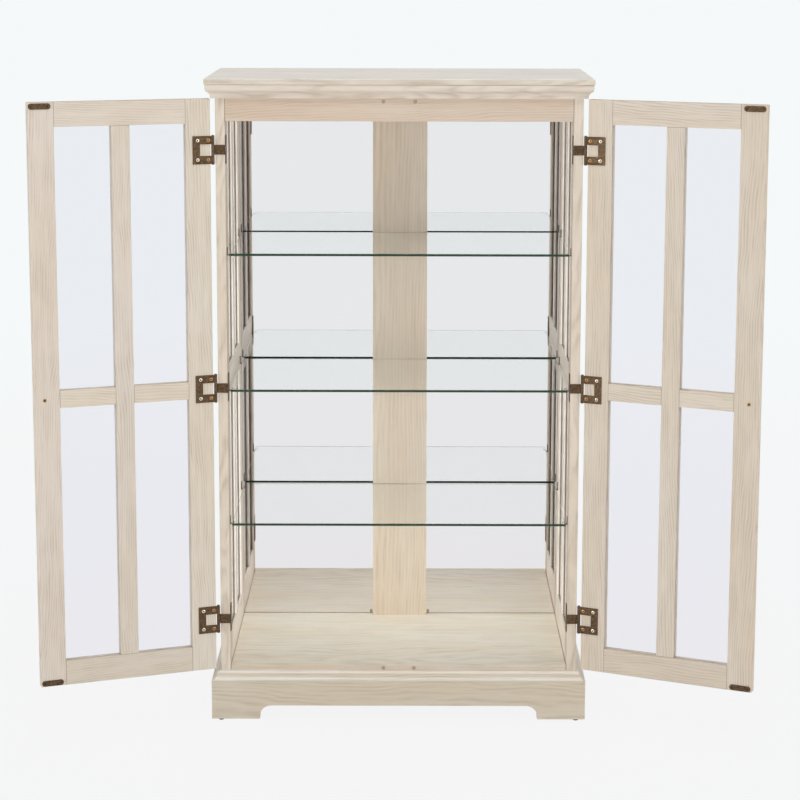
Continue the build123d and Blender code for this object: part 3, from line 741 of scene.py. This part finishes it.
def screw_places(node, outward):
    """Head middles of the screws of a node, with the way that their shanks run."""
    places = []
    for points in loose_solids(node):
        far = max(point.dot(outward) for point in points)
        head = [point for point in points if far - point.dot(outward) < FACE_WITHIN]
        places.append((mean(head), -outward))
    return places


for side in ("left", "right"):
    knob = middle(f"{side}_door_knob")
    hinge_side = middle(f"{side}_door_hinge_leaves").dot(door_way[side])
    sorts = {sort: [] for sort in SCREW_PLATES}
    for place, direction in screw_places(f"{side}_door_screws", door_face[side]):
        beyond = place.dot(door_way[side]) - hinge_side
        if (place - knob).length < FAR_FROM:
            sort = "knob"
        elif abs(beyond) > FAR_FROM:
            sort = "strike"
        elif beyond > 0:
            sort = "outer"
        else:
            sort = "inner"
        sorts[sort].append((place, direction))
    copies = []
    for sort, plate in SCREW_PLATES.items():
        size = KNOB_SCREW if sort == "knob" else SMALL_SCREW
        copies += placed_copies(screw_pattern(plate, **size), sorts[sort])
    screws = joined(f"{side}_door_cross_screws", copies)
    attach(screws, side + "_door")
    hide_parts(f"{side}_door_screws")

frame_places = []
for points in loose_solids("frame_hinge_screws"):
    low, high, centre = extent(points)
    inner = high.x if centre.x < 0 else low.x
    outward = SIDEWAYS if centre.x > 0 else -SIDEWAYS
    frame_places.append((Vector((inner, centre.y, centre.z)), outward))
copies = placed_copies(screw_pattern(copper, **SMALL_SCREW), frame_places)
frame_screws = joined("frame_cross_screws", copies)
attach(frame_screws, "cabinet")
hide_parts("frame_hinge_screws")

# Knobs: turned metal in the same antique bronze, one on the outer face of each door at the height
# of the middle rails. Each has a spread foot, a waist and a domed grip.
KNOB_OUTLINE = (
    (0.0085, 0.0), (0.0085, 0.0014), (0.008, 0.002), (0.0066, 0.0034), (0.0056, 0.0056), (0.0055, 0.007),
    (0.0062, 0.0085), (0.0085, 0.0110), (0.0118, 0.0138), (0.0136, 0.0156), (0.014, 0.0166),
    (0.0137, 0.0178), (0.0126, 0.0192), (0.0106, 0.0209), (0.0080, 0.0222), (0.0045, 0.0229),
    (0.0015, 0.023),
)
KNOB_SIDES = 64
for side in ("left", "right"):
    node = f"{side}_door_knob"
    outward = -door_face[side]
    points = [vertex.co for vertex in frame["nodes"][node].data.vertices]
    near = min(point.dot(outward) for point in points)
    foot = [point for point in points if point.dot(outward) - near < FACE_WITHIN]
    knob = stood(turned(KNOB_OUTLINE, KNOB_SIDES), mean(foot), outward)
    knob.name = f"{side}_turned_knob"
    knob.data.materials.append(bronze)
    bpy.ops.object.shade_smooth_by_angle(angle=TURNED_SMOOTH)
    knob.select_set(False)
    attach(knob, side + "_door")
    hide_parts(node)

# Studio: a pale floor that fades into a white room, plain soft light, and the camera a little above
# the cabinet, in front of it.
ROOM_WHITE = paint(245, 249, 249)
FLOOR_WHITE = paint(247, 247, 248)
FLOOR_WIDTH = 80
ROOM_LIGHT = 0.2


def room_rays(nodes):
    """One for rays from the camera, off gloss and through glass, which see the room's own colour."""
    path = nodes.add("LightPath").outputs
    seen = nodes.maths("MAXIMUM", path["Is Camera Ray"], path["Is Glossy Ray"])
    return nodes.maths("MAXIMUM", seen, path["Is Transmission Ray"])


bpy.ops.mesh.primitive_plane_add(size=FLOOR_WIDTH, location=(0, 0, 0))
ground = bpy.context.object
ground.name = "studio_floor"
floor = Finish("pale_floor")
floor.shader.inputs["Base Color"].default_value = (0.82, 0.82, 0.82, 1)
floor.shader.inputs["Roughness"].default_value = 1.0
floor.shader.inputs["Specular IOR Level"].default_value = 0.0
away = floor.vector("LENGTH", floor.add("TexCoord").outputs["Object"], output="Value")
hue = floor.blend(floor.spread(away, 0.5, 6.0, 0.0, 1.0), FLOOR_WHITE, ROOM_WHITE)
glow = floor.add("Emission", Color=hue, Strength=1.0)
share = floor.maths("MULTIPLY", room_rays(floor), floor.spread(away, 0.8, 5.0, 0.95, 1.0))
mix = floor.add("MixShader", Fac=share, i1=floor.shader.outputs[0], i2=glow.outputs[0])
floor.feed(floor.surface, "Surface", mix.outputs[0])
ground.data.materials.append(floor.material)
ground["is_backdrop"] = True

world = bpy.data.worlds.new("white_room")
bpy.context.scene.world = world
room = Nodes(world)
lit = room.nodes["Background"]
lit.inputs["Color"].default_value = (1, 1, 1, 1)
lit.inputs["Strength"].default_value = ROOM_LIGHT
white = room.add("Background", Color=ROOM_WHITE, Strength=1.0)
mix = room.add("MixShader", Fac=room_rays(room), i1=lit.outputs[0], i2=white.outputs[0])
room.feed(room.nodes["World Output"], "Surface", mix.outputs[0])

# Lamps as name, place, aim, width, height, power, and whether mirrors and glass show them.
for name, place, aim, width, height, power, mirrored in (
    ("left_lamp", (-4.2, -2.6, 0.95), (0, 0, 0.95), 2.4, 1.6, 74, True),
    ("right_lamp", (4.2, -2.6, 0.95), (0, 0, 0.95), 2.4, 1.6, 71, True),
    ("left_fill", (-3.6, 1.3, 0.9), (0, 0, 0.8), 1.8, 1.4, 16, False),
    ("right_fill", (3.6, 1.3, 0.9), (0, 0, 0.8), 1.8, 1.4, 16, False),
    ("front_lamp", (0.0, -5.2, 1.0), (0, 0, 0.9), 2.0, 1.6, 55, False),
    ("key_lamp", (0.0, -2.6, 4.6), (0, 0, 0.5), 2.6, 2.0, 60, True),
    ("top_lamp", (0.0, 0.6, 3.8), (0, 0, 1.0), 1.6, 1.6, 19, True),
    ("back_lamp", (0.8, 5.0, 1.6), (0, 0, 0.8), 2.4, 1.6, 45, False),
):
    lamp_data = bpy.data.lights.new(name, "AREA")
    lamp_data.energy = power
    lamp_data.shape = "RECTANGLE"
    lamp_data.size = width
    lamp_data.size_y = height
    lamp = bpy.data.objects.new(name, lamp_data)
    bpy.context.collection.objects.link(lamp)
    lamp.visible_glossy = mirrored
    lamp.visible_transmission = mirrored
    lamp.location = place
    lamp.rotation_euler = (Vector(aim) - Vector(place)).to_track_quat("-Z", "Y").to_euler()

# Camera: fitted to the photograph's view, with a pitch of 9.8 degrees down and a hair of roll.
CAMERA_PLACE = (0.0234, -5.046, 1.6304)
CAMERA_PITCH = 0.1702
CAMERA_ROLL = -0.0023
camera_data = bpy.data.cameras.new("camera")
camera = bpy.data.objects.new("camera", camera_data)
bpy.context.collection.objects.link(camera)
camera_data.sensor_width = 36
camera_data.lens = 106.00
camera_data.shift_x = -0.0139
camera_data.shift_y = -0.06
camera.location = CAMERA_PLACE
camera.rotation_euler = (math.pi / 2 - CAMERA_PITCH, CAMERA_ROLL, 0)
bpy.context.scene.camera = camera
bpy.context.scene.view_settings.view_transform = "Standard"

low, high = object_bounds()
